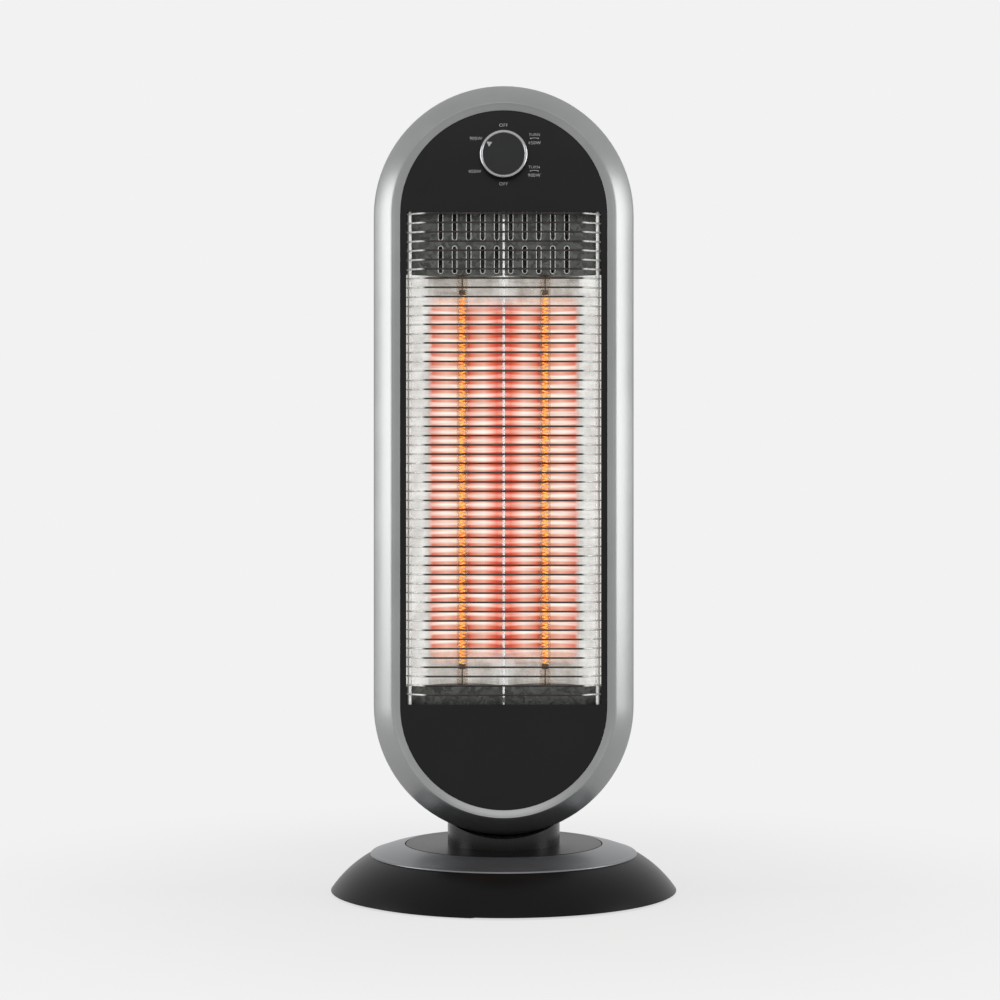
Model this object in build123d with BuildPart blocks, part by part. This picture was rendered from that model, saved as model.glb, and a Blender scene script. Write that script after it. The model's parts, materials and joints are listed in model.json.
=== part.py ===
from build123d import *
from math import atan2, cos, degrees, radians, sin, sqrt, tan
import os

os.makedirs("parts", exist_ok=True)

# A free-standing carbon heater: a round swivel base and an upright stadium-shaped tower.
# Millimetres, +Z up. The origin is on the floor under the swivel axis and the front faces -Y.

# Fits, gaps and stock thicknesses
running_fit = 0.05        # radial, a shaft in its bore
thread_fit = 0.05         # radial, a screw in its hole
slip = 0.3                # between pieces that drop in or pass each other
wall = 2.5                # moulded plastic
sheet = 0.8               # folded steel and reflector sheet
soft_edge = 2.0           # rounding of boxes and cans
small_edge = 0.6          # chamfer or rounding of small pieces
screw_sides = 6           # the many screws and their holes have few sides
post_sides = 8            # so do their heads and bosses

# Base shell and its silver ring
foot_t = 1.5
base_r = 140.0
dome_r = 90.0             # radius of the dome's profile
dome_steps = 5            # the dome's curve is turned in this many short cones
dome_top_r = 107.8
dome_top_z = 30.0
trim_t = 1.9
trim_crown = 0.9
trim_lip = 1.2
trim_gap = 0.6            # dark line round the turntable
disc_proud = 0.1          # the turntable stands this far above the ring
seat_lip = 0.6
ledge_z = 33.0
opening_r = 73.8
hollow_drop = 6.4         # the dome's hollow ends this far below its top
plate_t = 2.0
post_r = 4.5
base_post_inset = 21.0    # from the edge of the base to the middle of a screw post
base_post_count = 6
carrier_post_ring = 90.0
carrier_post_count = 4
pad_inset = 10.0          # from the edge of the base to the middle of a pad
pad_w = 8.5
pad_span = 34.6
pad_angles = (-118.7, -18.1, 61.3, 161.9)

# Turntable
disc_r = 79.6
disc_top = 38.6
disc_t = 3.0
spigot_r = 11.5
spigot_end = 17.5
wire_bore_r = 8.5
slip_ring_w = 5.0
slip_ring_t = 2.5

# Swing drive
carrier_r = 97.0
carrier_z = 21.0
carrier_t = 3.0
boss_wall = 3.4
boss_top = 31.5
motor_pitch = 42.0        # from the swivel axis to the motor shaft
motor_r = 25.0
motor_t = 15.5
motor_ear_reach = 36.0
motor_ear_w = 14.0
motor_hole_x = 31.0
shaft_r = 3.5
crank_throw = 21.0
crank_t = 3.5
crank_z = 26.5
crank_hub_r = 7.0
crank_tip_r = 6.0
pin_r = 3.0
pin_top = 35.0
slot_w = 9.0
slot_run = 0.2            # the slot reaches this much past the pin's travel
arm_t = 3.5
arm_hub_r = 20.0
arm_r = 10.0
arm_tip_wall = 2.5
arm_hole_x = 15.8
clip_t = 1.2
clip_r = 16.0
groove_r = 10.5

# Tip-over switch in the base
tip_x = 80.0
tip_travel = 4.0
plunger_r = 4.0
flange_r = 5.5
flange_t = 1.5
tip_box_x = 24.0
tip_box_y = 16.0
tip_box_top = 19.0
spring_top = 17.0
spring_r = 4.5
spring_wire = 1.2

# Cord gland at the back of the base
gland_z = 12.5
gland_r = 6.0
gland_bore_r = 3.5
gland_flange_r = 7.5
gland_flange_t = 1.5
gland_seat_inset = 12.0   # from the edge of the base to the face under the flange
gland_block_inset = 26.0  # and to the inner face of the block
gland_block_top = 20.0
gland_nose = 6.0

# Tower outline
tower_r = 105.0
tower_h = 602.2
tower_lift = 9.2          # from the turntable to the tower's lowest point
tower_bottom = disc_top + tower_lift
low_centre = tower_bottom + tower_r
high_centre = tower_bottom + tower_h - tower_r
tower_mid = (low_centre + high_centre) / 2
arc_spread = high_centre - low_centre

# Rear housing
part_line_y = -10.0
back_y = 45.0
back_bevel = 14.0         # the back edge is turned in three bevels
back_soften = 5.0
hollow_bevel = 16.0       # inner corner behind the bevelled back edge
tube_r = 4.5
tube_inset = 12.0
tube_floor = 6.0
head_well_r = 3.8
arc_screw_angle = 42.0
vent_slot_w = 4.0
vent_slot_len = 116.0
vent_pitch = 9.0
vent_rows = 8
upper_vent_z = 505.0
lower_vent_z = 195.0
grip_w = 84.0
grip_h = 24.0
grip_z = 610.0
grip_depth_y = 20.0
grip_round = 6.0

# Neck
neck_r = 45.5
neck_wall = 3.0
neck_hole_x = 30.0
neck_hole_y = (2.0, 14.0)
wire_hole_y = 8.0
neck_boss_top = 68.0
neck_reach = 35.0         # collar height before the tower's curve is cut out of it
neck_screw_length = 27.0

# Front frame section, as inset from the tower's outline and depth
shadow_step = 0.8         # the housing stands this proud of the frame
side_front_y = -27.0
crest_inset = 16.3
crest_y = -44.2
band_bulge = 0.8
step_inset = 19.6
step_y = -42.0
lip_inset = 22.4
lip_y = -41.4
tongue_t = 2.2
tongue_y = -5.0
crest_wall = 1.3
side_step = 0.6
frame_boss_r = 4.0

# Front panel
panel_front = -40.0
panel_t = 2.5
panel_tuck = 2.0          # hidden behind the frame's lip
clip_angle = 18.0
clip_w = 9.0
clip_length = 11.0
clip_overlap = 8.0        # a panel clip starts this far inside its screw
window_w = 155.4
window_low = 154.2
window_high = 547.0
window_round = 1.5
knob_z = 591.7
shaft_hole_r = 4.5

# Wire guard
wire_r = 0.75
wire_count = 53
wire_pitch = 7.363
wire_top_gap = 1.7
wire_front_y = -46.0
wire_flat_x = 63.4
wire_end_x = 77.2
wire_end_y = -36.6
weld = 0.1                # how far a welded wire sinks into an upright
side_rod_r = 1.8
side_rod_x = 75.2
mid_rod_r = 0.9
saddle_w = 8.4
saddle_h = 6.0
saddle_gap = 1.2
rod_reach = 7.0           # rods run this far past the window
wire_sides = 6
bend_rise = 5.0

# Heat shield, reflector and plates behind the guard
shield_x = 80.4
shield_back = 8.0
shield_reach = 4.2        # past the window, top and bottom
ear_reach = 90.7
ear_h = 10.0
ear_hole_inset = 16.8
ear_count = 2
ear_pitch = 200.0
ear_boss_r = 3.0
ear_boss_h = 3.5
ear_hole_depth = 4.2
plates_y = -27.0
vent_plate_low = 497.7
foot_plate_top = 168.1
plate_flange_y = -12.0
plate_slot_w = 3.0
plate_slot_len = 21.5
plate_slot_pitch = 11.25
plate_slot_count = 10
plate_slot_rows_z = (536.6, 509.9)
trough_start = (3.5, -23.5)
trough_deep = (32.0, -5.5)
trough_end = (60.5, -22.5)
cusp_y = -25.0
wing_x = 78.0
wing_y = -31.0
rim_y = -36.2

# Heating tubes
tube_x = 33.4
tube_y = -18.0
quartz_r = 4.5
quartz_wall = 0.9
cap_r = 7.5
cap_h = 20.0
cap_socket = 8.0
cap_top = 523.0
cap_bottom = 143.0
bracket_w = 92.0
bracket_t = 1.0
bracket_flange = 10.0
bracket_front = -26.0
heat_low = 185.1
heat_high = 482.3
heat_rod_r = 2.4
sleeve_r = 2.8
sleeve_h = 4.0
lead_r = 0.5

# Controls
switch_r = 14.0
switch_depth = 18.0
switch_nose_r = 5.5
switch_nose = 3.0
bracket_hole_x = 24.0
bracket_plate_h = 22.0
bracket_plate_w = 62.0
bracket_plate_y = -31.5
panel_boss_r = 3.5
switch_shaft_r = 3.0
shaft_tail = 4.0
blade_ring = 9.0
blade_count = 5
blade_w = 6.3
blade_reach = 8.0
knob_r = 18.3
knob_ring_r = 18.7
knob_ring_w = 2.1
knob_depth = 12.3
knob_gap = 0.9
knob_face = 1.6
knob_skirt = 2.3
knob_hub_r = 5.5
ring_t = 2.0
ring_proud = 0.5
shaft_end_gap = 2.5
pointer_angle = 55.0
pointer_size = 2.6
pointer_t = 0.4

# Small electrical parts
cutout_r = 8.0
cutout_h = 9.0
cutout_z = 470.0
terminal_w = 44.0
terminal_h = 18.0
terminal_d = 16.0
terminal_z = 104.0

# Screws
screw_r = 1.5
screw_head_r = 3.2
screw_head_t = 1.2
short_bite = 4.0          # how far a screw enters its boss
screw_bite = 8.0
long_bite = 12.0
pilot_room = 1.0          # a pilot hole goes this far past its screw


def facing(depth):
    """Plane that faces the front, at a depth along +Y."""
    return Plane.XZ.offset(-depth)


def level(height):
    """Horizontal plane at a height."""
    return Plane.XY.offset(height)


def discs(plane, places, radius):
    """Round faces of one radius at several places of a plane."""
    with BuildSketch(plane) as faces:
        with Locations(*places):
            Circle(radius)
    return faces.sketch


def prisms(plane, places, radius, sides):
    """Faces with a few sides, for what repeats often."""
    with BuildSketch(plane) as faces:
        with Locations(*places):
            RegularPolygon(radius, sides)
    return faces.sketch


def holes(plane, places):
    """Screw holes at several places of a plane."""
    return prisms(plane, places, screw_r + thread_fit, screw_sides)


def posts(plane, places, radius):
    """Screw bosses at several places of a plane."""
    return prisms(plane, places, radius, post_sides)


def ring_places(radius, count, start=0.0):
    """Evenly spaced places on a circle round the swivel axis."""
    angles = [radians(start + 360.0 * k / count) for k in range(count)]
    return [(radius * cos(a), radius * sin(a)) for a in angles]


def stadium(depth, inset):
    """Face of the tower's outline at a depth, drawn in by an inset."""
    with BuildSketch(facing(depth)) as face:
        with Locations((0, tower_mid)):
            SlotCenterToCenter(arc_spread, 2 * (tower_r - inset), rotation=90)
    return face.sketch


def around_stadium(section):
    """Solid that a section at the foot of the right side sweeps round the whole outline."""
    top_axis = Axis((0, 0, high_centre), (0, -1, 0))
    low_axis = Axis((0, 0, low_centre), (0, 1, 0))
    with BuildPart() as ring:
        extrude(section, amount=arc_spread)
        mirror(about=Plane.YZ)
        revolve(Pos(0, 0, arc_spread) * section, axis=top_axis, revolution_arc=180)
        revolve(section, axis=low_axis, revolution_arc=180)
    return ring.part


def edge_places(inset, angle):
    """Places at an inset, two on each end arc at an angle from the vertical."""
    reach = tower_r - inset
    side, rise = reach * sin(radians(angle)), reach * cos(radians(angle))
    upper = [(x, high_centre + rise) for x in (-side, side)]
    lower = [(x, low_centre - rise) for x in (-side, side)]
    return upper + lower


def screws(plane, places, length):
    """Pan-head screws: shanks point along the plane's normal and heads lie behind it."""
    with BuildPart() as group:
        extrude(prisms(plane, places, screw_r, screw_sides), amount=length)
        extrude(prisms(plane, places, screw_head_r, post_sides), amount=-screw_head_t)
    return group.part


def save(builder, name):
    """Label a finished piece and write its file."""
    builder.part.label = name
    export_step(builder.part, f"parts/{name}.step")


# Base shell

chord_r = base_r - dome_top_r
chord_z = dome_top_z - foot_t
chord = sqrt(chord_r**2 + chord_z**2)
chord_to_centre = sqrt(dome_r**2 - (chord / 2) ** 2)
dome_centre_r = (base_r + dome_top_r) / 2 - chord_to_centre * chord_z / chord
dome_centre_z = (foot_t + dome_top_z) / 2 - chord_to_centre * chord_r / chord


def dome_at(height, inset=0.0):
    """Point of the dome's profile at a height, or of its inner face."""
    reach = sqrt((dome_r - inset) ** 2 - (height - dome_centre_z) ** 2)
    return (dome_centre_r + reach, height)


def dome_points():
    """Points of the dome's profile from its top to its foot."""
    drop = (dome_top_z - foot_t) / dome_steps
    return [dome_at(dome_top_z - k * drop) for k in range(dome_steps + 1)]


plate_top = foot_t + plate_t
trim_in_r = disc_r + trim_gap
trim_in_z = disc_top - disc_proud
well_r = trim_in_r + seat_lip
seat_high = (well_r, trim_in_z - trim_t)
seat_low = (dome_top_r - seat_lip, dome_top_z - trim_t + slip)
hollow_z = dome_top_z - hollow_drop
pad_ring = base_r - pad_inset
base_post_ring = base_r - base_post_inset
gland_seat_y = base_r - gland_seat_inset
gland_block_y = base_r - gland_block_inset
base_posts = ring_places(base_post_ring, base_post_count)
carrier_posts = ring_places(carrier_post_ring, carrier_post_count, 45.0)
carrier_top = carrier_z + carrier_t

rim_low = dome_at(foot_t, wall)
rim_high = dome_at(hollow_z, wall)
plate_share = plate_t / (hollow_z - foot_t)
plate_r = rim_low[0] + (rim_high[0] - rim_low[0]) * plate_share - slip

with BuildPart() as base_hollow:
    with BuildSketch(Plane.XZ):
        with BuildLine():
            Polyline(
                rim_low,
                rim_high,
                (well_r + wall, seat_high[1] - wall - slip),
                (well_r + wall, ledge_z - wall),
                (opening_r, ledge_z - wall),
                (opening_r, foot_t),
                close=True,
            )
        make_face()
    revolve(axis=Axis.Z)
    extrude(posts(level(plate_top), base_posts, post_r), amount=disc_top, mode=Mode.SUBTRACT)
    extrude(posts(level(carrier_top), carrier_posts, post_r), amount=disc_top, mode=Mode.SUBTRACT)
    with BuildSketch(level(plate_top)):
        with Locations((0, gland_block_y)):
            Rectangle(4 * gland_r, base_r - gland_block_y, align=(Align.CENTER, Align.MIN))
    extrude(amount=gland_block_top - plate_top, mode=Mode.SUBTRACT)

with BuildPart() as base_shell:
    with BuildSketch(Plane.XZ):
        with BuildLine():
            Polyline(
                *dome_points(),
                (opening_r, foot_t),
                (opening_r, ledge_z),
                (well_r, ledge_z),
                seat_high,
                seat_low,
                close=True,
            )
        make_face()
    revolve(axis=Axis.Z)
    add(base_hollow.part, mode=Mode.SUBTRACT)
    base_pilot = screw_bite + pilot_room
    extrude(holes(level(plate_top), base_posts), amount=base_pilot, mode=Mode.SUBTRACT)
    carrier_pilot = short_bite + pilot_room
    extrude(holes(level(carrier_top), carrier_posts), amount=carrier_pilot, mode=Mode.SUBTRACT)
    gland_axis = [(0, gland_z)]
    extrude(discs(facing(base_r), gland_axis, gland_r + slip / 2), amount=base_r / 4, mode=Mode.SUBTRACT)
    extrude(
        discs(facing(base_r), gland_axis, gland_flange_r + slip),
        amount=base_r - gland_seat_y,
        mode=Mode.SUBTRACT,
    )
save(base_shell, "base_shell")

with BuildPart() as base_trim_ring:
    with BuildSketch(Plane.XZ):
        with BuildLine():
            top_in = (trim_in_r, trim_in_z)
            lip_top = (dome_top_r - trim_lip / 2, dome_top_z + trim_lip)
            crown = (
                (top_in[0] + lip_top[0]) / 2 + trim_crown / 3,
                (top_in[1] + lip_top[1]) / 2 + trim_crown,
            )
            lip_end = (dome_top_r + slip, dome_top_z + slip)
            lip_out = (dome_top_r + slip, dome_top_z + trim_lip / 2)
            skirt = (trim_in_r, seat_high[1])
            rim = (dome_top_r, dome_top_z)
            Polyline(top_in, crown, lip_top, lip_out, lip_end, rim, seat_low, seat_high, skirt, close=True)
        make_face()
    revolve(axis=Axis.Z)
save(base_trim_ring, "base_trim_ring")

with BuildPart() as base_plate:
    with BuildSketch(level(foot_t)):
        Circle(plate_r)
        with Locations((tip_x, 0)):
            Circle(plunger_r + running_fit, mode=Mode.SUBTRACT)
    extrude(amount=plate_t)
    extrude(holes(level(foot_t), base_posts), amount=plate_t, mode=Mode.SUBTRACT)
save(base_plate, "base_plate")

with BuildPart() as foot_pads:
    with BuildSketch(Plane.XY):
        for angle in pad_angles:
            SlotArc(CenterArc((0, 0), pad_ring, angle - pad_span / 2, pad_span), pad_w)
    extrude(amount=foot_t)
save(foot_pads, "foot_pads")

with BuildPart() as base_screws:
    add(screws(level(foot_t), base_posts, plate_t + screw_bite))
save(base_screws, "base_screws")

with BuildPart() as cord_gland:
    inner_face = gland_block_y - gland_flange_t
    nose_end = gland_seat_y + gland_flange_t + gland_nose
    extrude(discs(facing(inner_face), gland_axis, gland_r), amount=inner_face - nose_end)
    extrude(discs(facing(inner_face), gland_axis, gland_flange_r), amount=-gland_flange_t)
    extrude(discs(facing(gland_seat_y), gland_axis, gland_flange_r), amount=-gland_flange_t)
    extrude(discs(facing(0), gland_axis, gland_bore_r), amount=-base_r, mode=Mode.SUBTRACT)
save(cord_gland, "cord_gland")

# Swing drive in the base

shaft_place = [(0, -motor_pitch)]
motor_holes = [(x, -motor_pitch) for x in (-motor_hole_x, motor_hole_x)]
motor_bottom = carrier_z - sheet - motor_t

with BuildPart() as swivel_carrier:
    with BuildSketch(level(carrier_z)):
        Circle(carrier_r)
        with Locations(*shaft_place):
            Circle(crank_hub_r + slip, mode=Mode.SUBTRACT)
        with Locations(*motor_holes, *carrier_posts):
            RegularPolygon(screw_r + thread_fit, screw_sides, mode=Mode.SUBTRACT)
    extrude(amount=carrier_t)
    boss_r = spigot_r + running_fit + boss_wall
    extrude(discs(level(carrier_z), [(0, 0)], boss_r), amount=boss_top - carrier_z)
    extrude(
        discs(level(carrier_z), [(0, 0)], spigot_r + running_fit),
        amount=boss_top - carrier_z,
        mode=Mode.SUBTRACT,
    )
save(swivel_carrier, "swivel_carrier")

with BuildPart() as carrier_screws:
    add(screws(level(carrier_z), carrier_posts, carrier_t + short_bite))
save(carrier_screws, "carrier_screws")

with BuildPart() as slip_ring:
    with BuildSketch(level(ledge_z)):
        Circle(well_r - slip)
        Circle(well_r - slip - slip_ring_w, mode=Mode.SUBTRACT)
    extrude(amount=slip_ring_t)
save(slip_ring, "slip_ring")

with BuildPart() as swing_motor:
    extrude(discs(level(motor_bottom), shaft_place, motor_r), amount=motor_t)
    chamfer(edges().group_by(Axis.Z)[0], soft_edge)
    with BuildSketch(level(carrier_z - sheet)):
        with Locations(*shaft_place):
            SlotOverall(2 * motor_ear_reach, motor_ear_w)
            Circle(motor_r)
        with Locations(*motor_holes):
            RegularPolygon(screw_r + thread_fit, screw_sides, mode=Mode.SUBTRACT)
    extrude(amount=sheet)
    extrude(
        discs(level(motor_bottom + motor_t / 2 - slip), shaft_place, shaft_r + running_fit),
        amount=motor_t,
        mode=Mode.SUBTRACT,
    )
save(swing_motor, "swing_motor")

with BuildPart() as motor_screws:
    add(screws(level(carrier_z - sheet), motor_holes, sheet + carrier_t))
save(motor_screws, "motor_screws")

with BuildPart() as motor_shaft:
    shaft_low = motor_bottom + motor_t / 2
    extrude(discs(level(shaft_low), shaft_place, shaft_r), amount=crank_z + crank_t - shaft_low)
save(motor_shaft, "motor_shaft")

pin_place = [(0, -motor_pitch - crank_throw)]
with BuildPart() as swing_crank:
    with BuildSketch(level(crank_z)):
        with Locations(*shaft_place):
            Circle(crank_hub_r)
        with Locations(*pin_place):
            Circle(crank_tip_r)
        make_hull()
        with Locations(*shaft_place):
            Circle(shaft_r, mode=Mode.SUBTRACT)
        with Locations(*pin_place):
            Circle(pin_r, mode=Mode.SUBTRACT)
    extrude(amount=crank_t)
save(swing_crank, "swing_crank")

with BuildPart() as crank_pin:
    extrude(discs(level(crank_z), pin_place, pin_r), amount=pin_top - crank_z)
    chamfer(edges().group_by(Axis.Z)[-1], small_edge)
save(crank_pin, "crank_pin")

# Tip-over switch in the base

tip_place = [(tip_x, 0)]
with BuildPart() as tip_switch_body:
    with BuildSketch(level(plate_top)):
        with Locations(*tip_place):
            RectangleRounded(tip_box_x, tip_box_y, soft_edge)
            Circle(flange_r + slip, mode=Mode.SUBTRACT)
    extrude(amount=tip_box_top - plate_top)
    extrude(discs(level(spring_top), tip_place, flange_r + slip), amount=tip_box_top - spring_top)
save(tip_switch_body, "tip_switch_body")

flange_z = plate_top + tip_travel + slip
with BuildPart() as tip_switch_plunger:
    extrude(discs(level(0), tip_place, plunger_r), amount=flange_z)
    chamfer(edges().group_by(Axis.Z)[0], small_edge)
    extrude(discs(level(flange_z), tip_place, flange_r), amount=flange_t)
save(tip_switch_plunger, "tip_switch_plunger")

with BuildPart() as tip_switch_spring:
    spring_low = flange_z + flange_t
    with BuildSketch(level(spring_low)):
        with Locations(*tip_place):
            Circle(spring_r)
            Circle(spring_r - spring_wire, mode=Mode.SUBTRACT)
    extrude(amount=spring_top - spring_low)
save(tip_switch_spring, "tip_switch_spring")

# Turntable and neck

disc_low = disc_top - disc_t
neck_screw_places = [(x, y) for x in (-neck_hole_x, neck_hole_x) for y in neck_hole_y]
arm_holes = [(-arm_hole_x, 0), (arm_hole_x, 0)]
arm_low = disc_low - arm_t
clip_z = carrier_z - slip - clip_t

with BuildPart() as turntable_disc:
    extrude(discs(level(disc_low), [(0, 0)], disc_r), amount=disc_t)
    chamfer(edges().group_by(Axis.Z)[-1], small_edge)
    extrude(discs(level(spigot_end), [(0, 0)], spigot_r), amount=disc_low - spigot_end)
    with BuildSketch(level(clip_z)):
        Circle(spigot_r)
        Circle(groove_r, mode=Mode.SUBTRACT)
    extrude(amount=clip_t + running_fit, mode=Mode.SUBTRACT)
    extrude(
        discs(level(spigot_end), [(0, 0)], wire_bore_r),
        amount=disc_top - spigot_end,
        mode=Mode.SUBTRACT,
    )
    extrude(holes(level(disc_low), neck_screw_places + arm_holes), amount=disc_t, mode=Mode.SUBTRACT)
save(turntable_disc, "turntable_disc")

with BuildPart() as spigot_clip:
    with BuildSketch(level(clip_z)):
        Circle(clip_r)
        Circle(groove_r + running_fit, mode=Mode.SUBTRACT)
        with Locations((0, clip_r)):
            Rectangle(groove_r, clip_r, mode=Mode.SUBTRACT)
    extrude(amount=clip_t)
save(spigot_clip, "spigot_clip")

with BuildPart() as swing_arm:
    slot_near = motor_pitch - crank_throw - slot_run
    slot_far = motor_pitch + crank_throw + slot_run
    with BuildSketch(level(arm_low)):
        Circle(arm_hub_r)
        arm_reach = slot_far + slot_w / 2 + arm_tip_wall - arm_r
        with Locations((0, -arm_reach / 2)):
            SlotCenterToCenter(arm_reach, 2 * arm_r, rotation=90)
        with Locations((0, -(slot_near + slot_far) / 2)):
            SlotCenterToCenter(slot_far - slot_near, slot_w, rotation=90, mode=Mode.SUBTRACT)
        Circle(spigot_r + slip, mode=Mode.SUBTRACT)
        with Locations(*arm_holes):
            RegularPolygon(screw_r + thread_fit, screw_sides, mode=Mode.SUBTRACT)
    extrude(amount=arm_t)
    well = screw_head_t + slip
    extrude(posts(level(arm_low), arm_holes, screw_head_r + slip), amount=well, mode=Mode.SUBTRACT)
save(swing_arm, "swing_arm")

with BuildPart() as arm_screws:
    add(screws(level(arm_low + well), arm_holes, arm_t - well + disc_t))
save(arm_screws, "arm_screws")

tower_axis_low = [(0, low_centre)]
wire_hole = [(0, wire_hole_y)]
with BuildPart() as neck_hollow:
    extrude(discs(level(disc_top), [(0, 0)], neck_r - neck_wall), amount=tower_r)
    extrude(
        discs(facing(neck_r), tower_axis_low, tower_r + neck_wall),
        amount=2 * neck_r,
        mode=Mode.SUBTRACT,
    )
    extrude(posts(level(disc_top), neck_screw_places, tube_r), amount=tower_r, mode=Mode.SUBTRACT)

with BuildPart() as neck_collar:
    extrude(discs(level(disc_top), [(0, 0)], neck_r), amount=neck_reach)
    extrude(discs(facing(neck_r), tower_axis_low, tower_r), amount=2 * neck_r, mode=Mode.SUBTRACT)
    add(neck_hollow.part, mode=Mode.SUBTRACT)
    extrude(holes(level(disc_top), neck_screw_places), amount=tower_r, mode=Mode.SUBTRACT)
    extrude(discs(level(disc_top), wire_hole, wire_bore_r), amount=tower_r, mode=Mode.SUBTRACT)
save(neck_collar, "neck_collar")

with BuildPart() as neck_screws:
    add(screws(level(disc_low), neck_screw_places, neck_screw_length))
save(neck_screws, "neck_screws")

# Rear housing

side_places = [(x, z) for x in (tube_inset - tower_r, tower_r - tube_inset)
               for z in (low_centre, tower_mid, high_centre)]
housing_holes = side_places + edge_places(tube_inset, arc_screw_angle)
housing_depth = back_y - part_line_y


def grip_face(grow):
    """Outline of the carry grip's pocket, grown for its walls."""
    with BuildSketch(facing(grip_depth_y - grow)) as face:
        with Locations((0, grip_z)):
            RectangleRounded(grip_w + 2 * grow, grip_h + 2 * grow, grip_round + grow)
    return face.sketch


def vent_field(centre_z):
    """Rows of cooling slots across the back."""
    with BuildSketch(facing(back_y)) as field:
        with Locations((0, centre_z)):
            with GridLocations(1, vent_pitch, 1, vent_rows):
                Rectangle(vent_slot_len, vent_slot_w)
    return field.sketch


with BuildPart() as housing_hollow:
    extrude(stadium(part_line_y, wall), amount=wall - housing_depth)
    chamfer(faces().sort_by(Axis.Y)[-1].edges(), hollow_bevel)
    extrude(posts(facing(part_line_y), housing_holes, tube_r), amount=-housing_depth, mode=Mode.SUBTRACT)
    extrude(grip_face(wall), amount=-housing_depth, mode=Mode.SUBTRACT)
    extrude(posts(level(0), neck_screw_places, tube_r), amount=neck_boss_top, mode=Mode.SUBTRACT)

with BuildPart() as rear_housing:
    extrude(stadium(part_line_y, 0), amount=-housing_depth)
    chamfer(faces().sort_by(Axis.Y)[-1].edges(), back_bevel)
    rims = edges().group_by(Axis.Y)
    chamfer(rims[-1] + rims[-3], back_soften)
    add(housing_hollow.part, mode=Mode.SUBTRACT)
    extrude(holes(facing(part_line_y), housing_holes), amount=-housing_depth, mode=Mode.SUBTRACT)
    well_floor = part_line_y + tube_floor
    wells = posts(facing(well_floor), housing_holes, head_well_r)
    extrude(wells, amount=-housing_depth, mode=Mode.SUBTRACT)
    extrude(grip_face(0), amount=-housing_depth, mode=Mode.SUBTRACT)
    extrude(vent_field(upper_vent_z), amount=2 * wall, mode=Mode.SUBTRACT)
    extrude(vent_field(lower_vent_z), amount=2 * wall, mode=Mode.SUBTRACT)
    extrude(discs(level(0), wire_hole, wire_bore_r), amount=neck_boss_top, mode=Mode.SUBTRACT)
    pilot = neck_boss_top - wall
    extrude(holes(level(0), neck_screw_places), amount=pilot, mode=Mode.SUBTRACT)
save(rear_housing, "rear_housing")

# Front frame

panel_back = panel_front + panel_t
edge_x = tower_r - shadow_step
crest_x = tower_r - crest_inset


def band_points():
    """Convex outer band of the frame, from its crest to its side."""
    side, crest = Vector(edge_x, side_front_y), Vector(crest_x, crest_y)
    across = crest - side
    outward = Vector(-across.Y, across.X) * (band_bulge / across.length)
    return [crest, (side + crest) * 0.5 + outward, side]


with BuildSketch(level(low_centre)) as frame_section:
    with BuildLine():
        tongue_x = tower_r - wall - slip
        Polyline(
            *reversed(band_points()),
            (tower_r - step_inset, step_y),
            (tower_r - lip_inset, lip_y),
            (tower_r - lip_inset, panel_front),
            (crest_x + crest_wall, panel_front),
            (tongue_x - tongue_t, side_front_y - side_step),
            (tongue_x - tongue_t, tongue_y),
            (tongue_x, tongue_y),
            (tongue_x, part_line_y),
            (edge_x, part_line_y),
            close=True,
        )
    make_face()

with BuildSketch(level(low_centre)) as front_void_section:
    with BuildLine():
        Polyline(
            *band_points(),
            (tower_r + tube_inset, side_front_y),
            (tower_r + tube_inset, 2 * crest_y),
            (crest_x - tube_inset, 2 * crest_y),
            (crest_x - tube_inset, crest_y),
            close=True,
        )
    make_face()

ear_x = tower_r - ear_hole_inset
ear_places = [(x, tower_mid + (k - (ear_count - 1) / 2) * ear_pitch)
              for x in (-ear_x, ear_x) for k in range(ear_count)]
clip_places = edge_places(ear_hole_inset, clip_angle)
seat_holes = ear_places + clip_places

with BuildPart() as frame_bosses:
    extrude(posts(facing(part_line_y), housing_holes, frame_boss_r), amount=part_line_y - crest_y)
    add(around_stadium(front_void_section.sketch), mode=Mode.SUBTRACT)
    extrude(posts(facing(panel_back), seat_holes, ear_boss_r), amount=ear_boss_h)

with BuildPart() as front_frame:
    add(around_stadium(frame_section.sketch))
    add(frame_bosses.part)
    frame_pilot = long_bite + pilot_room
    extrude(holes(facing(part_line_y), housing_holes), amount=frame_pilot, mode=Mode.SUBTRACT)
    extrude(holes(facing(panel_back), seat_holes), amount=ear_hole_depth, mode=Mode.SUBTRACT)
save(front_frame, "front_frame")

with BuildPart() as housing_screws:
    add(screws(facing(well_floor), housing_holes, tube_floor + long_bite))
save(housing_screws, "housing_screws")

# Front panel

panel_inset = lip_inset - panel_tuck
window_mid = (window_low + window_high) / 2
window_h = window_high - window_low
rod_ends = (window_low - rod_reach, window_high + rod_reach)
wire_slope = atan2(wire_end_y - wire_front_y, wire_end_x - wire_flat_x)
rod_step = (side_rod_r + wire_r - weld) / cos(wire_slope)
side_rod_y = wire_end_y - (wire_end_x - side_rod_x) * tan(wire_slope) + rod_step
mid_rod_back_y = panel_back + mid_rod_r + running_fit
switch_bosses = [(-bracket_hole_x, knob_z), (bracket_hole_x, knob_z)]
saddle_places = [(x, z) for x in (-side_rod_x, 0, side_rod_x)
                 for z in (window_low - saddle_gap - saddle_h / 2, window_high + saddle_gap + saddle_h / 2)]

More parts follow.
